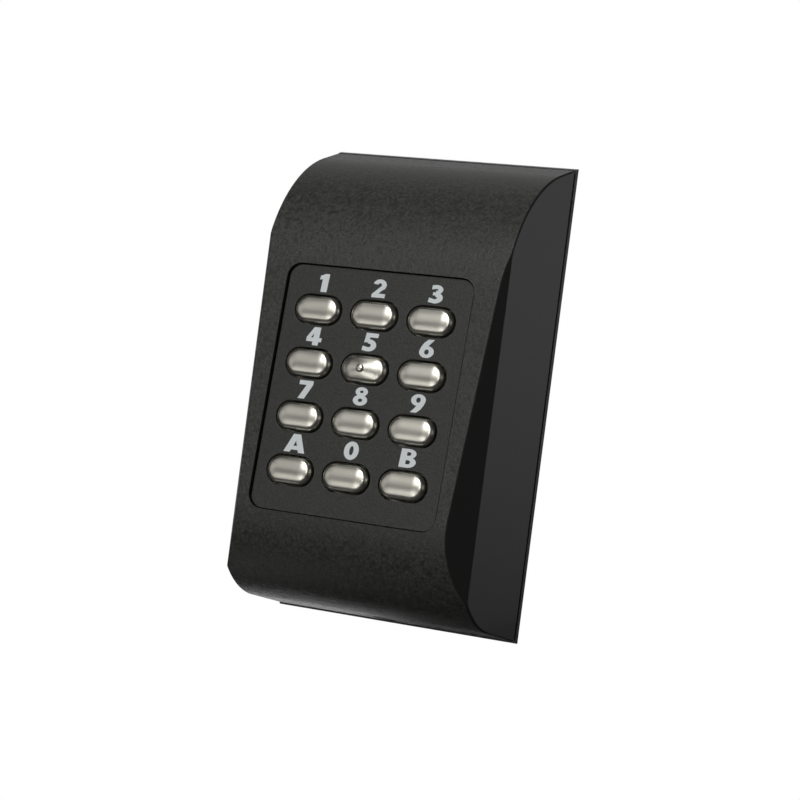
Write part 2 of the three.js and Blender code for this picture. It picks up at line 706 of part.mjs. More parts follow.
add(reader, "front_cover", frontCover(), "housing");
add(keypad, "keypad_panel", keypadPanel(), "housing");
for (const { name, x, z } of keyPlaces()) {
  add(keypad, `key_${name}`, key(x, z, name === NIB_KEY), "key");
  add(keypad, `key_dome_${name}`, keyDome(x, z), "silicone");
}
add(keypad, "keypad_mat", keypadMat(), "silicone");
add(keypad, "circuit_board", circuitBoard(), "board");
bossPlaces().forEach(({ x, z }, index) => {
  add(keypad, `board_screw_${index + 1}`, boardScrew(x, z), "steel");
});
add(keypad, "antenna_coil", antennaCoil(), "copper");
add(keypad, "terminal_block", terminalBlock(), "terminal");
for (let index = 0; index < TERMINALS; index += 1) {
  add(keypad, `terminal_screw_${index + 1}`, terminalScrew(terminalX(index)), "steel");
}
add(keypad, "controller_chip", chip(CONTROLLER_CHIP), "component");
add(keypad, "reader_chip", chip(READER_CHIP), "component");
add(keypad, "buzzer", buzzer(), "component");
add(keypad, "crystal", crystal(), "steel");
add(keypad, "filter_capacitor", filterCapacitor(), "steel");
add(keypad, "voltage_regulator", voltageRegulator(), "component");
add(keypad, "tamper_switch", tamperSwitch(), "component");
add(keypad, "tamper_plunger", tamperPlunger(), "component");
add(reader, "base_plate", basePlate(), "housing");
add(reader, "cover_seal", coverSeal(), "seal");
add(reader, "cable_grommet", cableGrommet(), "seal");
add(reader, "security_screw", securityScrew(), "steel");

export default reader;
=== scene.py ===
"""The looks of a surface-mounted keypad access reader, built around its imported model.

Shapes are modelled in millimetres and turned into metres when they are finished. The housing's frame is
the model's own: +X right as one faces the keypad, +Y into the wall, +Z up, and "depth" is the distance
out from the wall. The keypad, its keys and the circuit board lie in a tilted frame, whose x and z run
along the front face and whose y, called "level", counts inwards from the front face.
"""

import json
import math
from contextlib import contextmanager

import bmesh
import bpy
from mathutils import Matrix, Vector
from mathutils.bvhtree import BVHTree
from mathutils.geometry import delaunay_2d_cdt

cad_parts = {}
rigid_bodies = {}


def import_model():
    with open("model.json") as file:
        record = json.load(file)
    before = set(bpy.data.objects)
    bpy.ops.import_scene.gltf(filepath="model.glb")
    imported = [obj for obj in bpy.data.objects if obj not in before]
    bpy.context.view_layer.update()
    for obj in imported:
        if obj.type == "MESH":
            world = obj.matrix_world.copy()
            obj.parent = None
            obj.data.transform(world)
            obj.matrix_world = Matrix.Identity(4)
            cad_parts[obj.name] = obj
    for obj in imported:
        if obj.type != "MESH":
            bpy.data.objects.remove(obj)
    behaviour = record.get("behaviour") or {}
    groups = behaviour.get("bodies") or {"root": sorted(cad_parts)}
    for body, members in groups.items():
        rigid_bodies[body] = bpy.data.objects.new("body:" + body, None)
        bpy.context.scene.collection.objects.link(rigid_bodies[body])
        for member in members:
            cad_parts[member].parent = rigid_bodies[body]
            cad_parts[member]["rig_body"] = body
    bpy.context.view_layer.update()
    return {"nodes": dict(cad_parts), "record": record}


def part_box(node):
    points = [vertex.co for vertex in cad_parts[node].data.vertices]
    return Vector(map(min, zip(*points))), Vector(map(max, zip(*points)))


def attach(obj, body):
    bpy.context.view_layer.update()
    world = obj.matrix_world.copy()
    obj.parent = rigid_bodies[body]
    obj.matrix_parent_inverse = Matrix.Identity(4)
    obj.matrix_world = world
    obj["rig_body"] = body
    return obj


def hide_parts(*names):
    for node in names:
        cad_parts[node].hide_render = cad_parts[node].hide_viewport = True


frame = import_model()

MM = 0.001

# ------ driving dimensions, in millimetres

WIDTH = 52
HEIGHT = 91.8
GAP = 0.3

FRONT_DEPTH = 28.4
KEYPAD_HEIGHT = -3
FRONT_TILT = math.radians(5.26)
TOP_ARC_RADIUS = 27.5
TOP_ARC_START = 19.9
LOWER_ARC_RADIUS = 19
UNDERSIDE_SLOPE = math.radians(7.3)
RIDGE_DEPTH = 24.6
SIDE_DRAFT = 0.4
SIDE_SLOPE = SIDE_DRAFT / RIDGE_DEPTH
FACET_SLOPE = 0.62

WALL = 2
FLANGE = 1.2
COVER_BACK = FLANGE + GAP
BASE_LEDGE = 0.3  # how far the base plate reaches below the cover
REBATE_INSET = 1.2
REBATE_DEPTH = 3.6
EDGE_ROUND = 0.4  # along the housing's edges
EDGE_STEPS = (0, 0.1, 0.2, 0.32, 0.46, 0.7)  # distances of the rows of points beside each edge

PANEL_WIDTH = 38.8
PANEL_HEIGHT = 46.8
PANEL_CENTRE = 0.4
PANEL_CORNER = 2.6
PANEL_GAP = 0.3
PANEL_END_GAP = 0.16  # above and below the insert
PANEL_LEVEL = 0.6
PANEL_FLANGE = 0.8  # how far the insert's flange reaches out behind the window
PANEL_FLANGE_LEVEL = 2.4
PANEL_BACK_LEVEL = 3.4
LIP = 0.1  # rounding of the window, the insert and its key holes

KEY_NAMES = "123456789a0b"
KEY_WIDTH = 9.5
KEY_HEIGHT = 5.2
KEY_CLEARANCE = 0.35
KEY_TOP_LEVEL = -0.6
KEY_EDGE = 1.15  # radius of the cap's edge
KEY_CROWN = math.radians(16)  # slope of the crowned top where it meets the edge
KEY_FLANGE_LEVEL = PANEL_BACK_LEVEL + GAP
KEY_BACK_LEVEL = KEY_FLANGE_LEVEL + 0.7
KEY_FLANGE_MARGIN = 0.65
NIB_KEY = "5"
NIB_RADIUS = 0.8
NIB_HEIGHT = 0.42
NIB_PLACE = -0.2
TENT_HEIGHT = 0.45  # how far the cap rises to the nib
TENT_REACH = 3.4

LEGEND_HEIGHT = 3.5
LEGEND_RISE = 5.2  # from a key's centre to its character's centre
LEGEND_SLANT = 0.05
LEGEND_SHIFT = 0.2  # to the right of the key's middle
LEGEND_THICKNESS = 0.02

LOCK_DEPTH = 5.5
LOCK_HEAD_RADIUS = 2.1
LOCK_HEAD_LOW = -44.3
LOCK_HEAD_HIGH = -42.9
LOCK_PAD_RADIUS = 4
LOCK_PAD_TOP = -41.3
LOCK_SHANK_RADIUS = 1.2
LOCK_SOCKET_RADIUS = 0.95
LOCK_SOCKET_DEPTH = 0.9
LOCK_BOSS_TOP = -35
LOCK_BOSS_HALF_WIDTH = 3.6
LOCK_BOSS_WALL = 3.4

RIM_DEPTH = 6
RIM_THICKNESS = 1.6
PLATE_EDGE = 0.25  # rounding along the base plate's edges
CABLE_Z = 15
CABLE_HOLE_RADIUS = 5
CABLE_HOLE_CHAMFER = 0.15
WALL_SCREW_Z = 30
WALL_SCREW_RADIUS = 2.2
WALL_SCREW_CHAMFER = 0.3
TAMPER_ROD_RADIUS = 1.3
TAMPER_HOLE_MARGIN = 0.45

# Marks that moulding leaves on the base plate's back, and a blank field for a label.
EJECTOR_PLACE = (19, 36)
EJECTOR_RADIUS = 2.6
EJECTOR_DEPTH = 0.12
KNOCKOUT_PLACE = (12, 30)
KNOCKOUT_RADIUS = 2.2
KNOCKOUT_GROOVE = 0.35
KNOCKOUT_DEPTH = 0.25
LABEL_PLACE = (-6, -13)
LABEL_SIZE = (26, 13)
LABEL_CORNER = 1.5
LABEL_DEPTH = 0.25

PART_EDGE = 0.12  # rounding along the edges of the parts inside
CROSS = (0, math.pi / 2)  # the turns of a cross-slot

# The camera, looking at the housing from its right.
CAMERA_AZIMUTH = math.radians(26.495)
CAMERA_ELEVATION = math.radians(-0.801)
CAMERA_ROLL = math.radians(7.435)
CAMERA_DISTANCE = 477.2
CAMERA_AIM_RIGHT = -5.076
CAMERA_AIM_UP = -2.306
LENS = 109.27
SENSOR = 36

BACKDROP_BRIGHTNESS = 1.0
AMBIENT = 0.004
FLOOR_REACH = 9  # metres
FLOOR_HEIGHT = -0.5  # metres
FLOOR_DARK = (0.08, 0.08, 0.08)  # as the object sees it
FLOOR_LIGHT = (0.10, 0.10, 0.10)

# ------ meshes


def mesh_object(name, points, faces):
    mesh = bpy.data.meshes.new(name)
    mesh.from_pydata([tuple(p) for p in points], [], faces)
    piece = bpy.data.objects.new(name, mesh)
    bpy.context.scene.collection.objects.link(piece)
    return piece


@contextmanager
def editing(piece):
    """A piece's mesh, opened for work on it and written back afterwards."""
    work = bmesh.new()
    work.from_mesh(piece.data)
    yield work
    work.to_mesh(piece.data)
    work.free()


def clean(piece, distance=1e-4):
    """Merges doubled points, drops what has collapsed and turns every face outwards."""
    with editing(piece) as work:
        bmesh.ops.remove_doubles(work, verts=work.verts, dist=distance)
        bmesh.ops.dissolve_degenerate(work, edges=work.edges, dist=distance)
        bmesh.ops.recalc_face_normals(work, faces=work.faces)
    return piece


def loft(name, rings):
    """A closed solid through rings of equally many points, its two ends closed by flat faces."""
    count = len(rings[0])
    points = [p for ring in rings for p in ring]
    faces = tube_faces(len(rings), count)[:-count]  # without those from the last ring to the first
    faces.append(tuple(range(count)))
    faces.append(tuple(range(len(points) - count, len(points))))
    return clean(mesh_object(name, points, faces))


def apply_modifiers(piece):
    graph = bpy.context.evaluated_depsgraph_get()
    made = bpy.data.meshes.new_from_object(piece.evaluated_get(graph))
    piece.modifiers.clear()
    piece.data = made
    return piece


def carve(piece, other, operation="DIFFERENCE"):
    """Cuts other out of piece, or joins it on, and removes other."""
    modifier = piece.modifiers.new("carve", "BOOLEAN")
    modifier.operation = operation
    modifier.solver = "EXACT"
    modifier.object = other
    apply_modifiers(piece)
    bpy.data.objects.remove(other)
    return piece


def join(piece, other):
    return carve(piece, other, "UNION")


def box(name, low, high):
    (x0, y0, z0), (x1, y1, z1) = low, high
    ring = [(x0, z0), (x1, z0), (x1, z1), (x0, z1)]
    return loft(name, [[(x, y, z) for x, z in ring] for y in (y0, y1)])


def tube_faces(sections, count):
    """The faces round a closed tube of that many sections, each of count points."""
    faces = []
    for section in range(sections):
        here, there = section * count, (section + 1) % sections * count
        for i in range(count):
            j = (i + 1) % count
            faces.append((here + i, here + j, there + j, there + i))
    return faces


def ring_of(name, profile, sides):
    """A closed ring whose section is a closed line of (radius, height) points."""
    angles = evenly(0, 2 * math.pi, sides)[:-1]
    points = [(r * math.cos(a), r * math.sin(a), h) for a in angles for r, h in profile[:-1]]
    return clean(mesh_object(name, points, tube_faces(sides, len(profile) - 1)))


def bevelled(piece, width, segments=2, angle=40):
    edges = piece.modifiers.new("edges", "BEVEL")
    edges.width = width
    edges.segments = segments
    edges.limit_method = "ANGLE"
    edges.angle_limit = math.radians(angle)
    return apply_modifiers(piece)


def turned(name, profile, sides=64):
    """A solid of revolution about z; the profile's (radius, height) points start and end on the axis."""
    angles = evenly(0, 2 * math.pi, sides)[:-1]
    rings = [[(r * math.cos(a), r * math.sin(a), h) for a in angles] for r, h in profile]
    return loft(name, rings)


def cylinder(name, radius, low, high, sides=64):
    return turned(name, [(0, low), (radius, low), (radius, high), (0, high)], sides)


def eased(profile, radius, steps=4):
    """The same open line of points with each inner corner rounded off."""
    points = [Vector(p) for p in profile]
    made = [points[0]]
    for before, corner, after in zip(points, points[1:], points[2:]):
        reach = min(radius, (corner - before).length / 2, (after - corner).length / 2)
        start = corner + (before - corner).normalized() * reach
        end = corner + (after - corner).normalized() * reach
        for i in range(steps + 1):
            t = i / steps
            made.append(start * (1 - t) ** 2 + corner * (2 * t * (1 - t)) + end * t ** 2)
    return [tuple(p) for p in made + [points[-1]]]


def moved(piece, matrix):
    piece.data.transform(matrix)
    return piece


# ------ outlines


def evenly(start, end, steps):
    return [start + (end - start) * i / steps for i in range(steps + 1)]


def arc(x, z, radius, start, end, steps, squeeze=1.0):
    """Points on an arc; squeeze is the ratio of its width to its height."""
    angles = evenly(start, end, steps)
    return [(x + squeeze * radius * math.cos(a), z + radius * math.sin(a)) for a in angles]


def rounded_rectangle(width, height, radius, z=0, steps=10):
    quarter = math.pi / 2
    across = width / 2 - radius
    up = height / 2 - radius
    corners = [(across, up), (-across, up), (-across, -up), (across, -up)]
    return [
        point
        for turn, (cx, cz) in enumerate(corners)
        for point in arc(cx, z + cz, radius, turn * quarter, (turn + 1) * quarter, steps)
    ]


def pill(width, height, x=0, z=0, steps=20, straight=1):
    """A bar with round ends; its straight sides are divided into that many stretches."""
    radius = height / 2
    reach = width / 2 - radius
    quarter = math.pi / 2
    right = arc(x + reach, z, radius, -quarter, quarter, steps)
    left = arc(x - reach, z, radius, quarter, 3 * quarter, steps)
    inner = [reach * (1 - 2 * i / straight) for i in range(1, straight)]
    over = [(x + run, z + radius) for run in inner]
    under = [(x - run, z - radius) for run in inner]
    return right + over + left + under


def levels(outline, rows):
    """Rings for loft: outline(offset) is drawn at each row's (offset, level)."""
    return [[(x, level, z) for x, z in outline(offset)] for offset, level in rows]


def quarter_round(face, radius, steps=4):
    """(offset, level) rows of an edge at the level face, rounded by a quarter circle."""
    angles = evenly(0, math.pi / 2, steps)
    return [(radius * (1 - math.sin(a)), face + radius * (1 - math.cos(a))) for a in angles]


def lip_rows(face, depth, radius):
    """Rows of a cutter whose mouth at the level face flares by a quarter round, and that ends at depth."""
    return [(radius, face - 2)] + quarter_round(face, radius) + [(0, depth)]


# ------ the housing's outer form


def unit(angle):
    return Vector((math.cos(angle), math.sin(angle)))


def meet(n1, k1, n2, k2):
    """The point where the lines n1.p = k1 and n2.p = k2 meet."""
    determinant = n1.x * n2.y - n1.y * n2.x
    return Vector(((k1 * n2.y - n1.y * k2) / determinant, (n1.x * k2 - k1 * n2.x) / determinant))


def half_width(depth, inset):
    """Half the housing's width at a depth: the side wall's, or the facet's in front of the ridge."""
    side = WIDTH / 2 - inset * math.hypot(1, SIDE_SLOPE) - SIDE_SLOPE * depth
    ridge = WIDTH / 2 - SIDE_DRAFT
    facet = ridge + FACET_SLOPE * (RIDGE_DEPTH - depth) - inset * math.hypot(1, FACET_SLOPE)
    return min(side, facet)


def ridge_depth(inset):
    """The depth at which the side wall and the facet meet."""
    gap = FACET_SLOPE * RIDGE_DEPTH - SIDE_DRAFT
    shift = inset * (math.hypot(1, FACET_SLOPE) - math.hypot(1, SIDE_SLOPE))
    return (gap - shift) / (FACET_SLOPE - SIDE_SLOPE)


def profile_arc(centre, radius, start, end, ridge, step=math.radians(1.5)):
    """Points (depth, z) down an arc, with one exactly where it passes the ridge, if it does."""
    steps = max(2, round(abs(end - start) / step))
    angles = evenly(start, end, steps)
    if abs(ridge - centre.x) < radius:
        crossing = math.copysign(math.acos((ridge - centre.x) / radius), start + end)
        nearest = min(range(1, steps), key=lambda i: abs(angles[i] - crossing))
        angles[nearest] = crossing
    return [centre + radius * unit(a) for a in angles]


def along(start, end, distances):
    direction = (end - start).normalized()
    return [start + direction * d for d in distances]


def side_profile(inset, back, steps, ledge):
    """The side view's points (depth, z), from the back's top over the front to the back's bottom."""
    front = unit(FRONT_TILT)
    under_angle = UNDERSIDE_SLOPE - math.pi / 2
    under = unit(under_angle)
    front_reach = front.dot(Vector((FRONT_DEPTH, KEYPAD_HEIGHT)))
    under_reach = under.dot(Vector((0, ledge - HEIGHT / 2)))

    arc_start = Vector(((front_reach - front.y * TOP_ARC_START) / front.x, TOP_ARC_START))
    top_centre = arc_start - TOP_ARC_RADIUS * front
    to_edge = Vector((0, HEIGHT / 2)) - top_centre
    top_angle = math.atan2(to_edge.y, to_edge.x) - math.acos(TOP_ARC_RADIUS / to_edge.length)
    top = unit(top_angle)
    top_reach = top.dot(Vector((0, HEIGHT / 2))) - inset
    lower_centre = meet(front, front_reach - LOWER_ARC_RADIUS, under, under_reach - LOWER_ARC_RADIUS)

    ridge = ridge_depth(inset)
    upper = profile_arc(top_centre, TOP_ARC_RADIUS - inset, top_angle, FRONT_TILT, ridge)
    lower = profile_arc(lower_centre, LOWER_ARC_RADIUS - inset, FRONT_TILT, under_angle, ridge)
    back_top = Vector((back, (top_reach - top.x * back) / top.y))
    back_bottom = Vector((back, (under_reach - inset - under.x * back) / under.y))
    return along(back_top, upper[0], steps) + upper + lower + along(back_bottom, lower[-1], steps)[::-1]


def ladder(start, end, steps):
    """Points from start to end, close together near both, without the last one."""
    span = (end - start).length
    scale = min(1, span / (2.2 * steps[-1])) if steps[-1] else 1
    direction = (end - start).normalized()
    near = [start + direction * (s * scale) for s in steps]
    far = [end - direction * (s * scale) for s in reversed(steps[1:])]
    return near + far


def housing_form(name, inset, back, steps=(0,), ledge=BASE_LEDGE):
    """The solid that the housing's side view and plan view enclose, moved inwards by inset."""
    profile = side_profile(inset, back, steps, ledge)
    ridge = ridge_depth(inset)
    lengths = [0]
    for before, after in zip(profile, profile[1:]):
        lengths.append(lengths[-1] + (after - before).length)
    outside = [i for i, p in enumerate(profile) if p.x > ridge - 1e-6]
    first, last = outside[0], outside[-1]
    top, bottom = profile[0].y, profile[-1].y

    def back_height(i):
        """Where the back edge's point that belongs to a point of the profile lies."""
        if i < first:
            return top + (profile[first].y - top) * lengths[i] / lengths[first]
        if i > last:
            share = (lengths[-1] - lengths[i]) / (lengths[-1] - lengths[last])
            return bottom + (profile[last].y - bottom) * share
        return profile[i].y

    rings = []
    for i, (depth, z) in enumerate(profile):
        stations = ((depth, z), (min(depth, ridge), z), (back, back_height(i)))
        right = [Vector((half_width(out, inset), -out, height)) for out, height in stations]
        left = [Vector((-p.x, p.y, p.z)) for p in reversed(right)]
        corners = right + left
        ring = []
        for a, b in zip(corners, corners[1:] + corners[:1]):
            ring += ladder(a, b, steps)
        rings.append(ring)
    return loft(name, rings)


def rounded_off(piece, core, radius):
    """Pulls piece's points on to a ball of that radius rolled over core, the same form moved inwards."""
    work = bmesh.new()
    work.from_mesh(core.data)
    tree = BVHTree.FromBMesh(work)
    for vertex in piece.data.vertices:
        near = tree.find_nearest(vertex.co)[0]
        vertex.co = near + (vertex.co - near).normalized() * radius
    work.free()
    bpy.data.objects.remove(core)
    return piece


# ------ materials


def new_material(name):
    material = bpy.data.materials.new(name)
    material.use_nodes = True
    return material, material.node_tree, material.node_tree.nodes["Principled BSDF"]


def add_node(tree, kind, **sockets):
    """A new shader node, each of its named sockets set to a value or linked to another node's output."""
    node = tree.nodes.new("ShaderNode" + kind)
    for name, value in sockets.items():
        socket = node.inputs[name.replace("_", " ")]
        if isinstance(value, bpy.types.NodeSocket):
            tree.links.new(value, socket)
        else:
            socket.default_value = value
    return node


def object_coordinates(tree, stretch=(1, 1, 1)):
    coordinates = add_node(tree, "TexCoord")
    return add_node(tree, "Mapping", Vector=coordinates.outputs["Object"], Scale=stretch).outputs["Vector"]


def noise(tree, vector, size, detail=3, roughness=0.5):
    """Noise whose features are about size millimetres across."""
    scale = 1 / (size * MM)
    texture = add_node(tree, "TexNoise", Vector=vector, Scale=scale, Detail=detail, Roughness=roughness)
    return texture.outputs["Fac"]


def cells(tree, vector, size):
    """Rounded cells about size millimetres across."""
    texture = add_node(tree, "TexVoronoi", Vector=vector, Scale=1 / (size * MM))
    texture.feature = "SMOOTH_F1"
    return texture.outputs["Distance"]


def scaled(tree, value, low, high, start=0.3, end=0.7):
    """value's stretch from start to end, spread from low to high."""
    spread = add_node(tree, "MapRange", Value=value, From_Min=start, From_Max=end, To_Min=low, To_Max=high)
    return spread.outputs["Result"]


def blended(tree, value, first, second):
    """A colour between first and second, which may also be another node's output."""
    mix = add_node(tree, "Mix")
    mix.data_type = "RGBA"
    mix.inputs["A"].default_value = (*first, 1)
    if isinstance(second, tuple):
        mix.inputs["B"].default_value = (*second, 1)
    else:
        tree.links.new(second, mix.inputs["B"])
    tree.links.new(value, mix.inputs["Factor"])
    return mix.outputs["Result"]


def combined(tree, first, second, operation="ADD"):
    total = add_node(tree, "Math")
    total.operation = operation
    tree.links.new(first, total.inputs[0])
    tree.links.new(second, total.inputs[1])
    return total.outputs["Value"]


def facing_front(tree):
    """1 on what faces forwards, up or down, falling to 0 on what faces sideways."""
    coordinates = add_node(tree, "TexCoord")
    parts = add_node(tree, "SeparateXYZ", Vector=coordinates.outputs["Normal"])
    size = add_node(tree, "Math", Value=parts.outputs["X"])
    size.operation = "ABSOLUTE"
    return scaled(tree, size.outputs["Value"], 1, 0, 0.15, 0.5)


def bump(tree, shader, height, depth, strength=1.0):
    """Surface relief of depth millimetres."""
    relief = add_node(tree, "Bump", Height=height, Strength=strength, Distance=depth * MM)
    tree.links.new(relief.outputs["Normal"], shader.inputs["Normal"])


def moulded_plastic(name, dark, light, roughness, grain, relief):
    """Moulded plastic with a spark-eroded grain of that size and relief, in millimetres."""
    material, tree, shader = new_material(name)
    vector = object_coordinates(tree)
    patches = noise(tree, vector, 1.6, detail=4)
    fine = noise(tree, vector, grain, detail=3, roughness=0.6)
    pits = cells(tree, vector, grain * 1.3)
    tree.links.new(blended(tree, scaled(tree, fine, 0, 1), dark, light), shader.inputs["Base Color"])
    tree.links.new(scaled(tree, patches, roughness - 0.04, roughness + 0.04), shader.inputs["Roughness"])
    bump(tree, shader, combined(tree, fine, pits), relief)
    return material


def leather_grained_plastic(name, side, dark, light, roughness, size, relief):
    """Moulded plastic with a leathery grain of low blisters on its front, and nearly smooth sides."""
    material, tree, shader = new_material(name)
    vector = object_coordinates(tree)
    front = facing_front(tree)
    blisters = scaled(tree, cells(tree, vector, size), 1, 0, 0.1, 0.75)
    speckle = scaled(tree, noise(tree, vector, size / 3, detail=4, roughness=0.65), 0, 1, 0.3, 0.7)
    drift = scaled(tree, noise(tree, vector, size * 2.4, detail=3), 0.4, 1, 0.3, 0.7)
    grain = combined(tree, combined(tree, blisters, speckle, "MULTIPLY"), drift, "MULTIPLY")
    shown = combined(tree, grain, front, "MULTIPLY")
    tone = blended(tree, front, side, blended(tree, grain, dark, light))
    tree.links.new(tone, shader.inputs["Base Color"])
    tree.links.new(scaled(tree, shown, roughness, roughness + 0.12, 0, 0.6), shader.inputs["Roughness"])
    bump(tree, shader, shown, relief)
    return material


def satin_metal(name, dark, light, roughness, brushed=(1, 1, 1)):
    """Plated metal, a little brushed along the axis whose stretch is the smallest."""
    material, tree, shader = new_material(name)
    vector = object_coordinates(tree, brushed)
    fine = noise(tree, vector, 0.25, detail=3)
    broad = noise(tree, vector, 1.6, detail=2)
    tree.links.new(blended(tree, scaled(tree, broad, 0, 1), dark, light), shader.inputs["Base Color"])
    tree.links.new(scaled(tree, broad, roughness - 0.02, roughness + 0.02), shader.inputs["Roughness"])
    shader.inputs["Metallic"].default_value = 1
    bump(tree, shader, fine, 0.0004, 0.3)
    return material


MATERIALS = {
    "housing": leather_grained_plastic(
        "black_moulded_abs",
        side=(0.015, 0.015, 0.0145),
        dark=(0.013, 0.013, 0.0115),
        light=(0.105, 0.108, 0.095),
        roughness=0.42,
        size=0.55,
        relief=0.085,
    ),
    "base": moulded_plastic(
        "black_base_abs", (0.010, 0.010, 0.010), (0.018, 0.018, 0.018), 0.42, 0.16, 0.01
    ),
    "panel": moulded_plastic(
        "black_insert_abs", (0.012, 0.012, 0.0103), (0.038, 0.039, 0.0335), 0.46, 0.3, 0.03
    ),
    "key": satin_metal("satin_nickel", (0.66, 0.64, 0.56), (0.70, 0.68, 0.60), 0.30, (0.2, 1, 1)),
    "legend": moulded_plastic("printed_grey", (0.70, 0.74, 0.75), (0.76, 0.80, 0.81), 0.5, 0.12, 0.004),
    "silicone": moulded_plastic("dark_silicone", (0.05, 0.05, 0.055), (0.07, 0.07, 0.075), 0.6, 0.4, 0.006),
    "seal": moulded_plastic("black_rubber", (0.010, 0.010, 0.010), (0.018, 0.018, 0.018), 0.65, 0.3, 0.01),
    "component": moulded_plastic(
        "black_epoxy", (0.014, 0.014, 0.015), (0.022, 0.022, 0.023), 0.5, 0.1, 0.01
    ),
    "plunger": moulded_plastic("white_acetal", (0.66, 0.65, 0.61), (0.74, 0.73, 0.69), 0.4, 0.5, 0.003),
    "terminal": moulded_plastic(
        "green_polyamide", (0.02, 0.17, 0.06), (0.03, 0.22, 0.08), 0.45, 0.4, 0.006
    ),
    "steel": satin_metal("zinc_plated_steel", (0.52, 0.53, 0.54), (0.62, 0.63, 0.64), 0.3),
    "copper": satin_metal("enamelled_copper", (0.50, 0.20, 0.09), (0.62, 0.28, 0.13), 0.35),
    "board": moulded_plastic("solder_mask", (0.01, 0.09, 0.035), (0.015, 0.13, 0.05), 0.35, 0.8, 0.004),
}

# ------ finishing a piece

SMOOTH_ANGLE = math.radians(34)

KEYPAD = Matrix.Translation((0, -FRONT_DEPTH, KEYPAD_HEIGHT)) @ Matrix.Rotation(-FRONT_TILT, 4, "X")
ALONG_Y = Matrix.Rotation(-math.pi / 2, 4, "X")  # turns a solid of revolution to lie along y
REBUILT = set()  # the nodes that have a finished piece in their place


def dress(piece, slot, body="root", replaced=()):
    """Turns a finished piece into metres, shades it, gives it its material and body, and hides the nodes it
    takes the place of.
    """
    moved(piece, Matrix.Scale(MM, 4))
    piece.data.materials.clear()
    piece.data.materials.append(MATERIALS[slot])
    piece.data.shade_smooth()
    piece.data.set_sharp_from_angle(angle=SMOOTH_ANGLE)
    weighted = piece.modifiers.new("flat_faces_stay_flat", "WEIGHTED_NORMAL")
    weighted.keep_sharp = True
    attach(piece, body)
    if replaced:
        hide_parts(*replaced)
        REBUILT.update(replaced)
    return piece


def tilted_box(node):
    """A node's lowest and highest corners in the tilted frame, in millimetres."""
    to_keypad = KEYPAD.inverted()
    points = [to_keypad @ (vertex.co / MM) for vertex in frame["nodes"][node].data.vertices]
    low = Vector([min(p[i] for p in points) for i in range(3)])
    high = Vector([max(p[i] for p in points) for i in range(3)])
    return low, high


def middle(low, high):
    return (low.x + high.x) / 2, (low.z + high.z) / 2


def tilted_place(low, high):
    """Sets a solid of revolution upright in the tilted frame, in the middle of a box there."""
    x, z = middle(low, high)
    return KEYPAD @ Matrix.Translation((x, 0, z)) @ ALONG_Y


def slot_of(node):
    return next(part["material_slot"] for part in frame["record"]["subparts"] if part["node"] == node)


def key_place(name):
    """A key's centre, x and z in the tilted frame, from the dome behind it."""
    low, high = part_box("key_dome_" + name)
    centre = KEYPAD.inverted() @ ((low + high) / 2 / MM)
    return centre.x, centre.z


# ------ housing


def front_cover():
    """The shell: its outer form less the cavity, with the screw's pad and bore and the keypad's window."""
    cover = housing_form("front_cover_moulding", 0, COVER_BACK, EDGE_STEPS)
    core = housing_form("core", EDGE_ROUND, COVER_BACK + EDGE_ROUND)
    rounded_off(cover, core, EDGE_ROUND)
    carve(cover, housing_form("cavity", WALL, -1))
    rebate = housing_form("rebate", REBATE_INSET, -1)
    band = box("band", (-WIDTH, -REBATE_DEPTH, -HEIGHT), (WIDTH, 2, HEIGHT))
    carve(cover, carve(rebate, band, "INTERSECT"))

    lock_place = Matrix.Translation((0, -LOCK_DEPTH, 0))
    pad = moved(cylinder("lock_pad", LOCK_PAD_RADIUS, -HEIGHT / 2, LOCK_PAD_TOP), lock_place)
    join(cover, carve(pad, housing_form("pad_limit", WALL / 2, REBATE_DEPTH), "INTERSECT"))
    bore = LOCK_HEAD_RADIUS + GAP
    shank = LOCK_SHANK_RADIUS + GAP
    mouth, seat, end = -HEIGHT / 2 - 2, LOCK_HEAD_HIGH + GAP, LOCK_PAD_TOP + 2
    profile = [(0, mouth), (bore, mouth), (bore, seat), (shank, seat), (shank, end), (0, end)]
    carve(cover, moved(turned("counterbore", profile), lock_place))

    def window_outline(offset):
        margin = 2 * (PANEL_GAP + offset)
        corner = PANEL_CORNER + PANEL_GAP + offset
        return rounded_rectangle(PANEL_WIDTH + margin, PANEL_HEIGHT + margin, corner, PANEL_CENTRE)

    window = loft("window", levels(window_outline, lip_rows(face=0, depth=4, radius=LIP)))
    carve(cover, moved(window, KEYPAD))
    return dress(cover, "housing", replaced=["front_cover"])


def panel_outline(offset):
    width = PANEL_WIDTH + 2 * offset
    height = PANEL_HEIGHT + 2 * (PANEL_GAP - PANEL_END_GAP) + 2 * offset
    return rounded_rectangle(width, height, PANEL_CORNER + offset, PANEL_CENTRE)


def keypad_panel():
    """The framed insert: a plate with rounded edges, a flange behind it and a lipped hole for each key."""
    rows = [(-offset, level) for offset, level in quarter_round(PANEL_LEVEL, LIP)]
    rows += [(0, PANEL_FLANGE_LEVEL), (PANEL_FLANGE, PANEL_FLANGE_LEVEL), (PANEL_FLANGE, PANEL_BACK_LEVEL)]
    panel = loft("keypad_panel_moulding", levels(panel_outline, rows))
    for name in KEY_NAMES:
        x, z = key_place(name)

        def hole(offset):
            margin = 2 * (KEY_CLEARANCE + offset)
            return pill(KEY_WIDTH + margin, KEY_HEIGHT + margin, x, z)

        carve(panel, loft("hole", levels(hole, lip_rows(PANEL_LEVEL, PANEL_BACK_LEVEL + 1, LIP))))
    return dress(moved(panel, KEYPAD), "panel", replaced=["keypad_panel"])


def bored(piece, cutter, x, z):
    """Cuts a solid of revolution, with its axis square to the wall, out of the base plate."""
    return carve(piece, moved(cutter, Matrix.Translation((x, 0, z)) @ ALONG_Y))


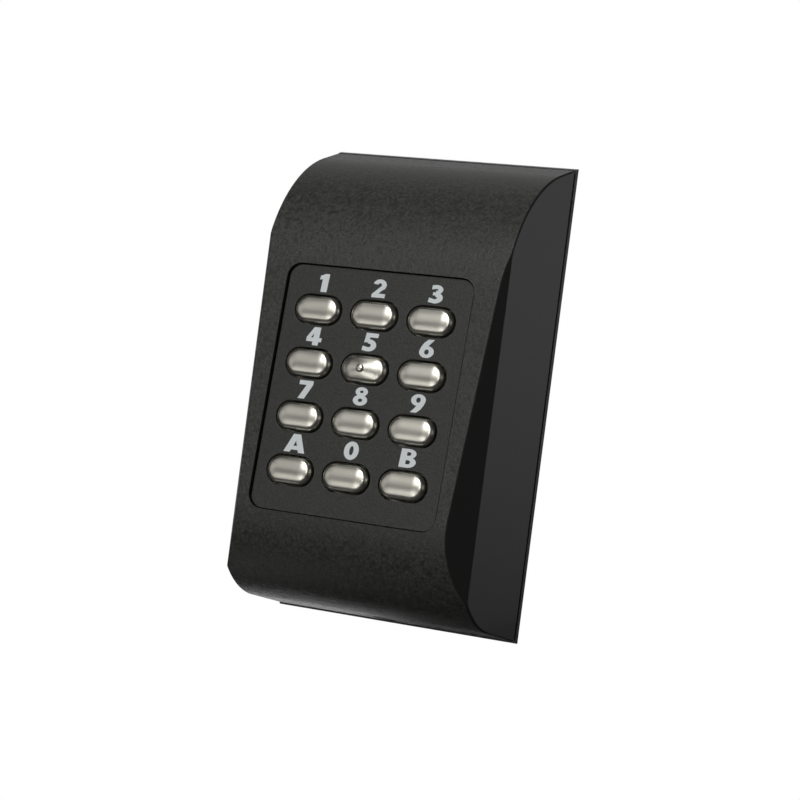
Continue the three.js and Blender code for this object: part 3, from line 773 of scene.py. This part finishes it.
def hole_cutter(radius, chamfer):
    """For a round hole through the base plate, with a chamfer on the wall's side."""
    low, high = -FLANGE - 1, 1
    profile = [(0, low), (radius, low), (radius, -chamfer), (radius + chamfer + high, high), (0, high)]
    return turned("drill", profile, 72)


def groove_cutter(radius, width, depth):
    inner = radius - width
    section = [(inner, 1), (inner, -depth), (radius, -depth), (radius, 1), (inner, 1)]
    return ring_of("groove", section, 72)


def label_outline(offset):
    width, height = LABEL_SIZE
    return rounded_rectangle(width + 2 * offset, height + 2 * offset, LABEL_CORNER + offset)


def base_plate():
    """The plate on the wall, with the rim that the cover slips over and the boss for its screw."""
    plate = housing_form("base_plate_moulding", 0, 0, ledge=0)
    carve(plate, box("band", (-WIDTH, -FLANGE, -HEIGHT), (WIDTH, 0, HEIGHT)), "INTERSECT")
    rim = housing_form("rim", WALL + GAP, 0)
    carve(rim, housing_form("inside", WALL + GAP + RIM_THICKNESS, -1))
    carve(rim, box("band", (-WIDTH, -RIM_DEPTH, -HEIGHT), (WIDTH, -FLANGE / 2, HEIGHT)), "INTERSECT")
    join(plate, rim)
    notch = LOCK_PAD_RADIUS + GAP
    low, high = (-notch, -RIM_DEPTH - 1, -HEIGHT / 2), (notch, -FLANGE, LOCK_PAD_TOP + GAP)
    carve(plate, box("notch", low, high))
    half = LOCK_BOSS_HALF_WIDTH
    low = (-half, -LOCK_DEPTH - LOCK_BOSS_WALL, LOCK_PAD_TOP + GAP)
    high = (half, -FLANGE / 2, LOCK_BOSS_TOP)
    join(plate, box("boss", low, high))
    bevelled(plate, PLATE_EDGE, 3)

    bore = cylinder("bore", LOCK_SHANK_RADIUS + GAP, LOCK_PAD_TOP - 1, LOCK_BOSS_TOP + 1)
    carve(plate, moved(bore, Matrix.Translation((0, -LOCK_DEPTH, 0))))
    low, high = tilted_box("tamper_plunger")
    hole = TAMPER_ROD_RADIUS + TAMPER_HOLE_MARGIN
    through = cylinder("through", hole, high.y - FLANGE - 2, high.y + 2)
    carve(plate, moved(through, tilted_place(low, high)))
    bored(plate, hole_cutter(CABLE_HOLE_RADIUS, CABLE_HOLE_CHAMFER), 0, CABLE_Z)
    for end in (-1, 1):
        bored(plate, hole_cutter(WALL_SCREW_RADIUS, WALL_SCREW_CHAMFER), 0, end * WALL_SCREW_Z)
        for side in (-1, 1):
            x, z = EJECTOR_PLACE
            bored(plate, cylinder("dish", EJECTOR_RADIUS, -EJECTOR_DEPTH, 1, 72), side * x, end * z)
            x, z = KNOCKOUT_PLACE
            groove = groove_cutter(KNOCKOUT_RADIUS, KNOCKOUT_GROOVE, KNOCKOUT_DEPTH)
            bored(plate, groove, side * x, end * z)
    rows = [(0, -LABEL_DEPTH), (LABEL_DEPTH, 0), (LABEL_DEPTH + 1, 1)]
    x, z = LABEL_PLACE
    recess = moved(loft("recess", levels(label_outline, rows)), Matrix.Translation((x, 0, z)))
    carve(plate, recess)
    return dress(plate, "base", replaced=["base_plate"])


def cable_grommet():
    """A rubber ring that grips the edge of the cable hole."""
    bore, neck, lip = 3.4, CABLE_HOLE_RADIUS - GAP, CABLE_HOLE_RADIUS + 1.8
    inside = FLANGE + GAP
    face, start = 0.2, 0.9  # the ring's face at the wall, and where its section's line starts
    outline = [(neck, start), (neck, inside), (lip, inside), (lip - 0.4, inside + 1.2)]
    outline += [(bore + 0.4, inside + 1.6), (bore, inside + 1.2), (bore, face), (neck, face), (neck, start)]
    profile = eased(outline, 0.35)
    ring = ring_of("cable_grommet_rubber", [(radius, -depth) for radius, depth in profile], 96)
    moved(ring, Matrix.Translation((0, 0, CABLE_Z)) @ ALONG_Y)
    return dress(ring, "seal", replaced=["cable_grommet"])


def security_screw():
    """A button-head screw with a hexagon socket and a threaded shank, upright through the underside."""
    tip = LOCK_BOSS_TOP - 0.5
    pitch, thread_depth = 0.5, 0.22
    low, high, head, shank = LOCK_HEAD_LOW, LOCK_HEAD_HIGH, LOCK_HEAD_RADIUS, LOCK_SHANK_RADIUS
    thread_start = high + 1.5
    profile = eased([(0, low), (head, low), (head, high), (shank, high), (shank, thread_start)], 0.25)
    turns = int((tip - high - 2) / pitch)
    for i in range(turns):
        z = thread_start + i * pitch
        profile += [(shank - thread_depth, z + pitch / 2), (shank, z + pitch)]
    profile += [(shank - 0.4, tip), (0, tip)]
    screw = turned("security_screw_steel", profile)
    carve(screw, cylinder("socket", LOCK_SOCKET_RADIUS, low - 1, low + LOCK_SOCKET_DEPTH, 6))
    moved(screw, Matrix.Translation((0, -LOCK_DEPTH, 0)))
    return dress(screw, "steel", replaced=["security_screw"])


# ------ keys


def crown_rows(half, steps=12):
    """(offset, level) rows over a cap: round its edge, then up the crown to the middle."""
    slope = KEY_CROWN
    shoulder = KEY_EDGE * (1 - math.sin(slope))
    crown_radius = (half - shoulder) / math.sin(slope)
    crown_rise = crown_radius * (1 - math.cos(slope))
    edge_level = KEY_TOP_LEVEL + crown_rise + KEY_EDGE * math.cos(slope)
    rows = []
    for angle in evenly(math.pi / 2, slope, steps):
        rows.append((-KEY_EDGE * (1 - math.sin(angle)), edge_level - KEY_EDGE * math.cos(angle)))
    for i in range(1, steps + 1):
        angle = slope * (1 - i / steps)
        rise = crown_radius * (math.cos(angle) - math.cos(slope))
        rows.append((crown_radius * math.sin(angle) - half, KEY_TOP_LEVEL + crown_rise - rise))
    return rows


def raise_nib(cap, x, z):
    """Lifts the cap in a flat cone and sets a small dome on it, to be felt by a finger."""
    for vertex in cap.data.vertices:
        run = math.hypot(vertex.co.x - x, vertex.co.z - z)
        if vertex.co.y < PANEL_LEVEL and run < TENT_REACH:
            share = math.sqrt((run / TENT_REACH) ** 2 + 0.01)
            vertex.co.y -= TENT_HEIGHT * max(0, 1 - share)
    foot = KEY_TOP_LEVEL - TENT_HEIGHT
    sunk = 0.5
    profile = [(0, sunk), (NIB_RADIUS, sunk)]
    for angle in evenly(0, math.pi / 2, 12):
        profile.append((NIB_RADIUS * math.cos(angle), -NIB_HEIGHT * math.sin(angle)))
    nib = turned("nib", profile, 32)
    join(cap, clean(moved(nib, Matrix.Translation((x, foot, z)) @ ALONG_Y)))


def key_cap(name):
    """A satin metal cap, crowned across and rounded at its edge, with its stem and flange."""
    x, z = key_place(name)

    def outline(offset):
        return pill(KEY_WIDTH + 2 * offset, KEY_HEIGHT + 2 * offset, x, z, straight=16)

    margin = KEY_FLANGE_MARGIN
    rows = [(margin, KEY_BACK_LEVEL), (margin, KEY_FLANGE_LEVEL), (0, KEY_FLANGE_LEVEL)]
    rows += crown_rows(KEY_HEIGHT / 2)
    cap = loft("key_%s_cap" % name, levels(outline, rows))
    if name == NIB_KEY:
        raise_nib(cap, x + NIB_PLACE, z)
    return dress(moved(cap, KEYPAD), "key", "key_" + name, ["key_" + name])


# ------ characters


def strip(first, second):
    """The quads between two lines of equally many points."""
    return [[first[i], first[i + 1], second[i + 1], second[i]] for i in range(len(first) - 1)]


def anticlockwise(polygon):
    pairs = zip(polygon, polygon[1:] + polygon[:1])
    area = sum(x0 * z1 - x1 * z0 for (x0, z0), (x1, z1) in pairs)
    return polygon if area > 0 else polygon[::-1]


def bowl(x, z, width, height, hole_width, hole_height, start, end, steps=24):
    """Part of an oval ring, thicker at its sides than at its top; angles are in degrees."""
    begin, stop = math.radians(start), math.radians(end)
    outer = arc(x, z, height / 2, begin, stop, steps, width / height)
    inner = arc(x, z, hole_height / 2, begin, stop, steps, hole_width / hole_height)
    return strip(outer, inner)


def glyphs():
    """Each character as polygons that may overlap; characters are 1 high and stand on z = 0."""
    tail = [(0.0, 0.34), (0.06, 0.56), (0.20, 0.80), (0.42, 1.0)]
    tail += [(0.78, 1.0), (0.60, 0.80), (0.46, 0.60), (0.30, 0.4)]
    six = bowl(0.43, 0.32, 0.86, 0.64, 0.26, 0.28, 0, 360) + [tail]
    hook = [(0, 0.05), (0.32, 0), (0.32, 0.23), (0.02, 0.29)]
    bars = [(0, 0.19), (0.40, 0.64), (0.83, 1.0)]  # the lower and upper edges of the B's three bars
    return {
        "1": [[(0, 0.88), (0, 0.66), (0.16, 0.70), (0.16, 0), (0.54, 0), (0.54, 1.0), (0.30, 1.0)]],
        "2": bowl(0.38, 0.68, 0.80, 0.64, 0.22, 0.22, -50, 168)
        + [[(0.70, 0.52), (0.44, 0.60), (0.0, 0.17), (0.0, 0), (0.36, 0.20)]]
        + [[(0, 0), (0.80, 0), (0.80, 0.22), (0.2, 0.22), (0, 0.14)]],
        "3": bowl(0.36, 0.74, 0.78, 0.52, 0.22, 0.10, -90, 100)
        + bowl(0.36, 0.30, 0.92, 0.60, 0.24, 0.14, -100, 90)
        + [[(0.09, 0.96), (0.34, 1.0), (0.34, 0.79), (0.09, 0.74)]]
        + [[(0.20, 0.43), (0.40, 0.43), (0.40, 0.60), (0.20, 0.60)]]
        + [hook],
        "4": [
            [(0.36, 1.0), (0.76, 1.0), (0.76, 0), (0.40, 0), (0.40, 0.72)],
            [(0.36, 1.0), (0, 0.42), (0, 0.20), (0.26, 0.42), (0.46, 0.74)],
            [(0, 0.20), (0.92, 0.20), (0.92, 0.42), (0, 0.42)],
        ],
        "5": bowl(0.36, 0.33, 0.92, 0.66, 0.26, 0.20, -110, 115)
        + [[(0.10, 1.0), (0.84, 1.0), (0.84, 0.77), (0.10, 0.77)]]
        + [[(0.10, 1.0), (0.36, 1.0), (0.36, 0.52), (0.06, 0.46)]]
        + [hook],
        "6": six,
        "7": [
            [(0, 1.0), (0.84, 1.0), (0.84, 0.76), (0, 0.76)],
            [(0.84, 1.0), (0.84, 0.78), (0.46, 0), (0.06, 0), (0.46, 0.78)],
        ],
        "8": bowl(0.43, 0.75, 0.74, 0.50, 0.22, 0.14, 0, 360)
        + bowl(0.43, 0.29, 0.86, 0.58, 0.26, 0.19, 0, 360),
        "9": [[(0.86 - x, 1 - z) for x, z in polygon] for polygon in six],
        "A": [
            [(0, 0), (0.38, 0), (0.70, 0.78), (0.70, 1.0), (0.42, 1.0)],
            [(1.28, 0), (0.90, 0), (0.58, 0.78), (0.58, 1.0), (0.86, 1.0)],
            [(0.25, 0.14), (1.03, 0.14), (0.95, 0.36), (0.33, 0.36)],
        ],
        "0": bowl(0.43, 0.50, 0.88, 1.0, 0.24, 0.50, 0, 360),
        "B": [[(0, 0), (0.36, 0), (0.36, 1.0), (0, 1.0)]]
        + [[(0.3, low), (0.5, low), (0.5, high), (0.3, high)] for low, high in bars]
        + bowl(0.48, 0.74, 0.84, 0.52, 0.24, 0.20, -90, 90)
        + bowl(0.48, 0.29, 0.96, 0.58, 0.28, 0.22, -90, 90),
    }


def legend(name, polygons):
    """The printed character above a key, from the union of its polygons."""
    points = []
    faces = []
    for polygon in polygons:
        faces.append(list(range(len(points), len(points) + len(polygon))))
        points += [Vector(p) for p in anticlockwise(polygon)]
    flat, _, triangles, _, _, sources = delaunay_2d_cdt(points, [], faces, 0, 1e-5)
    triangles = [triangle for triangle, source in zip(triangles, sources) if source]
    key_x, key_z = key_place(name)
    centre = (min(p.x for p in flat) + max(p.x for p in flat)) / 2
    placed = []
    for p in flat:
        x = key_x + LEGEND_SHIFT + (p.x - centre + LEGEND_SLANT * (p.y - 0.5)) * LEGEND_HEIGHT
        z = key_z + LEGEND_RISE + (p.y - 0.5) * LEGEND_HEIGHT
        placed.append((x, PANEL_LEVEL + LEGEND_THICKNESS / 4, z))
    piece = mesh_object("legend_" + name, placed, [tuple(t) for t in triangles])
    with editing(piece) as work:
        bmesh.ops.remove_doubles(work, verts=work.verts, dist=1e-4)
        grown = bmesh.ops.extrude_face_region(work, geom=work.faces[:])
        risen = [v for v in grown["geom"] if isinstance(v, bmesh.types.BMVert)]
        bmesh.ops.translate(work, verts=risen, vec=(0, -LEGEND_THICKNESS, 0))
        bmesh.ops.recalc_face_normals(work, faces=work.faces)
    return dress(moved(piece, KEYPAD), "legend")


# ------ the rest of the pieces


def softened(node):
    """A CAD node's own shape with its edges rounded."""
    body = frame["nodes"][node]["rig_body"]
    piece = mesh_object(node + "_fine", [], [])
    piece.data = frame["nodes"][node].data.copy()
    moved(piece, Matrix.Scale(1 / MM, 4))
    flat = math.radians(0.5)
    with editing(piece) as work:
        bmesh.ops.remove_doubles(work, verts=work.verts, dist=1e-3)
        bmesh.ops.dissolve_limit(work, angle_limit=flat, verts=work.verts, edges=work.edges)
    bevelled(piece, PART_EDGE)
    return dress(piece, slot_of(node), body, [node])


def tilted_turned(name, profile, x, z, ease, sides):
    """A solid of revolution along the tilted frame's level; the profile gives (radius, level) points."""
    rod = turned(name, eased(profile, ease), sides)
    return moved(rod, Matrix.Translation((x, 0, z)) @ ALONG_Y)


def slotted(piece, x, z, top, reach, half, depth, turns=(0,)):
    """Cuts a slot at each turn across a head whose top is at the level top."""
    for turn in turns:
        cutter = box("slot", (-reach, top - depth, -half), (reach, top + 1, half))
        moved(cutter, Matrix.Translation((x, 0, z)) @ Matrix.Rotation(turn, 4, "Y"))
        carve(piece, cutter)


def board_screw(node):
    """A pan-head screw with a cross-slot and a coarse thread."""
    low, high = tilted_box(node)
    x, z = middle(low, high)
    head = (high.x - low.x) / 2
    shank, seat, pitch = 0.8, high.y - 1.1, 0.7
    core = shank - 0.2
    profile = [(0, low.y), (0.3, low.y)]
    level = low.y + 0.4
    while level + pitch < seat - 1.7:
        profile += [(core, level), (shank, level + pitch / 2)]
        level += pitch
    profile += [(core, level), (core, seat), (head, seat)]
    profile += [(head, high.y - 0.25), (head - 0.5, high.y), (0, high.y)]
    screw = tilted_turned(node + "_steel", profile, x, z, 0.1, 48)
    slotted(screw, x, z, high.y, reach=1.1, half=0.22, depth=0.5, turns=CROSS)
    return dress(moved(screw, KEYPAD), "steel", replaced=[node])


def terminal_screw(node):
    """A short slotted screw down in its well."""
    low, high = tilted_box(node)
    x, z = middle(low, high)
    radius = (high.x - low.x) / 2
    profile = [(0, low.y), (radius, low.y), (radius, high.y), (0, high.y)]
    screw = tilted_turned(node + "_steel", profile, x, z, 0.15, 48)
    slotted(screw, x, z, high.y, reach=2, half=0.25, depth=0.6)
    return dress(moved(screw, KEYPAD), "steel", replaced=[node])


def buzzer():
    """A round sounder with a stepped rim and its sound hole."""
    low, high = tilted_box("buzzer")
    x, z = middle(low, high)
    radius, hole = (high.x - low.x) / 2, 1.1
    step, floor, upper = low.y + 1, low.y + 4, radius - 0.25
    profile = [(0, low.y), (radius, low.y), (radius, step), (upper, step)]
    profile += [(upper, high.y), (hole, high.y), (hole, floor), (0, floor)]
    can = tilted_turned("buzzer_can", profile, x, z, 0.25, 96)
    return dress(moved(can, KEYPAD), "component", replaced=["buzzer"])


def filter_capacitor():
    """An aluminium can with a rolled neck, on its square plastic foot."""
    low, high = tilted_box("filter_capacitor")
    x, z = middle(low, high)
    foot = (high.x - low.x) / 2
    radius, seat, neck = foot - 0.15, low.y + 1, low.y + 1.9
    base = box("filter_capacitor_foot", (x - foot, low.y, z - foot), (x + foot, seat, z + foot))
    bevelled(base, 0.35, 3)
    profile = [(0, seat), (radius, seat), (radius, neck - 0.3), (radius - 0.35, neck), (radius, neck + 0.3)]
    profile += [(radius, high.y - 0.05), (radius - 0.5, high.y), (radius - 0.8, high.y - 0.12)]
    profile += [(0, high.y - 0.12)]
    can = tilted_turned("filter_capacitor_can", profile, x, z, 0.2, 96)
    slotted(can, x, z, high.y, reach=radius - 1, half=0.12, depth=0.3, turns=CROSS)
    dress(moved(can, KEYPAD), "steel", replaced=["filter_capacitor"])
    return dress(moved(base, KEYPAD), "component")


def antenna_coil(turns=4, layers=3):
    """The reader's coil: enamelled wire wound in a rounded rectangle."""
    low, high = tilted_box("antenna_coil")
    x, z = middle(low, high)
    wire = (high.y - low.y) / 4
    margin, pitch = 0.1, wire + 0.02
    for index in range(turns):
        inset = margin + wire / 2 + index * pitch
        for layer in range(layers):
            level = low.y + margin + wire / 2 + layer * pitch
            name = "antenna_coil_turn_%d_%d" % (index + 1, layer + 1)
            width, height = high.x - low.x - 2 * inset, high.z - low.z - 2 * inset
            outline = rounded_rectangle(width, height, 3 - inset, z)
            turn = wound(name, outline, x, level, wire / 2)
            replaced = ["antenna_coil"] if index == layer == 0 else ()
            dress(moved(turn, KEYPAD), "copper", replaced=replaced)


def wound(name, outline, x, level, radius, sides=10):
    """A round wire laid along a closed outline at one level."""
    count = len(outline)
    points = []
    for i in range(count):
        before, here, after = outline[i - 1], outline[i], outline[(i + 1) % count]
        along_wire = Vector((after[0] - before[0], 0, after[1] - before[1])).normalized()
        sideways = Vector((along_wire.z, 0, -along_wire.x))
        inwards = Vector((0, 1, 0))
        centre = Vector((here[0] + x, level, here[1]))
        for angle in evenly(0, 2 * math.pi, sides)[:-1]:
            points.append(centre + radius * (math.cos(angle) * sideways + math.sin(angle) * inwards))
    return clean(mesh_object(name, points, tube_faces(count, sides)), 1e-5)


def tamper_plunger():
    """A rod with a collar, from the switch on the board to the wall."""
    low, high = tilted_box("tamper_plunger")
    collar = (high.x - low.x) / 2
    stop = high.y - FLANGE - 2.2
    start = stop - 1.2
    rod = TAMPER_ROD_RADIUS
    outline = [(0, low.y), (rod, low.y), (rod, start), (collar, start)]
    outline += [(collar, stop), (rod, stop), (rod, high.y), (0, high.y)]
    plunger = turned("tamper_plunger_acetal", eased(outline, 0.25))
    moved(plunger, tilted_place(low, high))
    return dress(plunger, "plunger", "tamper_plunger", ["tamper_plunger"])


# ------ floor, lights and camera


def shown_white(tree, shader, output):
    """Lets the camera see a surface as plain white, while the object is lit by its own shade."""
    path = add_node(tree, "LightPath")
    white = add_node(tree, "Emission", Strength=BACKDROP_BRIGHTNESS)
    mix = add_node(tree, "MixShader")
    tree.links.new(path.outputs["Is Camera Ray"], mix.inputs[0])
    tree.links.new(shader, mix.inputs[1])
    tree.links.new(white.outputs["Emission"], mix.inputs[2])
    tree.links.new(mix.outputs["Shader"], output)


def stage():
    """The floor, which is plain white to the camera and reflects little light on to the object."""
    signs = ((-1, -1), (1, -1), (1, 1), (-1, 1))
    corners = [(x * FLOOR_REACH, y * FLOOR_REACH, 0) for x, y in signs]
    floor = mesh_object("floor", corners, [(0, 1, 2, 3)])
    floor.location.z = FLOOR_HEIGHT
    material, tree, shader = new_material("pale_floor")
    vector = object_coordinates(tree)
    tone = noise(tree, vector, 400, detail=2)
    tree.links.new(blended(tree, tone, FLOOR_DARK, FLOOR_LIGHT), shader.inputs["Base Color"])
    shader.inputs["Roughness"].default_value = 0.9
    shader.inputs["Specular IOR Level"].default_value = 0.1
    surface = tree.nodes["Material Output"].inputs["Surface"]
    shown_white(tree, shader.outputs["BSDF"], surface)
    floor.data.materials.append(material)


def studio():
    """A white backdrop all round for the camera, and a faint light from everywhere for the object."""
    world = bpy.data.worlds.new("studio")
    bpy.context.scene.world = world
    world.use_nodes = True
    tree = world.node_tree
    faint = tree.nodes["Background"]
    faint.inputs["Color"].default_value = (1, 1, 1, 1)
    faint.inputs["Strength"].default_value = AMBIENT
    shown_white(tree, faint.outputs["Background"], tree.nodes["World Output"].inputs["Surface"])


SOFTBOXES = {  # azimuth and elevation in degrees, distance, width and height in metres, watts
    "over_front": (0, 40, 1.3, 0.35, 0.5, 5.2),
    "front_right": (15, 20, 1.3, 0.32, 0.8, 2.3),
    "front_middle": (-6, 26, 1.3, 0.4, 0.4, 1.5),
    "front_left": (-28, 20, 1.3, 1.0, 0.6, 0.8),
    "high_left": (-30, 62, 1.3, 0.6, 0.6, 0.6),
    "middle_left": (-50, 5, 1.3, 0.35, 0.5, 0.35),
    "low_front": (-25, -14, 1.3, 0.9, 0.3, 0.85),
    "low_middle": (-10, -14, 1.3, 0.4, 0.4, 0.9),
    "near_low": (-75, -58, 0.118, 0.04, 0.04, 0.003),
    "right": (72, 12, 1.3, 0.7, 0.6, 0.42),
    "side_right": (140, 8, 1.3, 0.4, 0.8, 0.45),
    "side_left": (-106, 8, 1.3, 0.8, 0.8, 1.4),
    "back_right": (150, 9, 1.3, 0.6, 0.6, 0.6),
    "back_left": (-140, 45, 1.3, 1.0, 1.0, 1.8),
    "behind": (200, 5, 1.3, 1.0, 1.0, 2.5),
    "under_left": (-142, -36, 0.15, 0.05, 0.05, 0.013),
}


def heading(azimuth, elevation):
    """The direction from the object towards a light or the camera."""
    level = math.cos(elevation)
    return Vector((math.sin(azimuth) * level, -math.cos(azimuth) * level, math.sin(elevation)))


def softbox(name, azimuth, elevation, distance, width, height, power):
    """A soft light aimed at the object's middle; azimuth 0 is straight in front."""
    light = bpy.data.lights.new(name, "AREA")
    light.shape = "RECTANGLE"
    light.size = width
    light.size_y = height
    light.energy = power
    lamp = bpy.data.objects.new(name, light)
    bpy.context.scene.collection.objects.link(lamp)
    towards = heading(math.radians(azimuth), math.radians(elevation))
    lamp.location = Vector((0, -FRONT_DEPTH * MM / 2, 0)) + towards * distance
    lamp.rotation_euler = (-towards).to_track_quat("-Z", "Y").to_euler()
    lamp.visible_camera = False


def camera():
    """The eye that sees the object as it hangs: tilted a little, and from the front right."""
    roll = CAMERA_ROLL
    back = heading(CAMERA_AZIMUTH, CAMERA_ELEVATION)
    right = (-back).cross(Vector((0, 0, 1))).normalized()
    up = right.cross(-back)
    seat = back * CAMERA_DISTANCE + right * CAMERA_AIM_RIGHT + up * CAMERA_AIM_UP
    rolled_right = math.cos(roll) * right + math.sin(roll) * up
    rolled_up = -math.sin(roll) * right + math.cos(roll) * up
    data = bpy.data.cameras.new("camera")
    data.sensor_width = SENSOR
    data.lens = LENS
    data.clip_start = 0.01
    data.clip_end = 100
    eye = bpy.data.objects.new("camera", data)
    bpy.context.scene.collection.objects.link(eye)
    axes = Matrix((rolled_right, rolled_up, back)).transposed().to_4x4()
    eye.matrix_world = Matrix.Translation(seat * MM) @ axes
    bpy.context.scene.camera = eye


# ------ assembly

front_cover()
keypad_panel()
base_plate()
cable_grommet()
security_screw()
tamper_plunger()
buzzer()
filter_capacitor()
antenna_coil()
for index in range(1, 5):
    board_screw("board_screw_%d" % index)
for index in range(1, 7):
    terminal_screw("terminal_screw_%d" % index)
for key_name in KEY_NAMES:
    key_cap(key_name)
for character, shape in glyphs().items():
    legend(character.lower(), shape)

for part in frame["nodes"]:
    if part not in REBUILT:
        softened(part)

stage()
studio()
for name, place in SOFTBOXES.items():
    softbox(name, *place)
camera()
bpy.context.scene.view_settings.view_transform = "Standard"
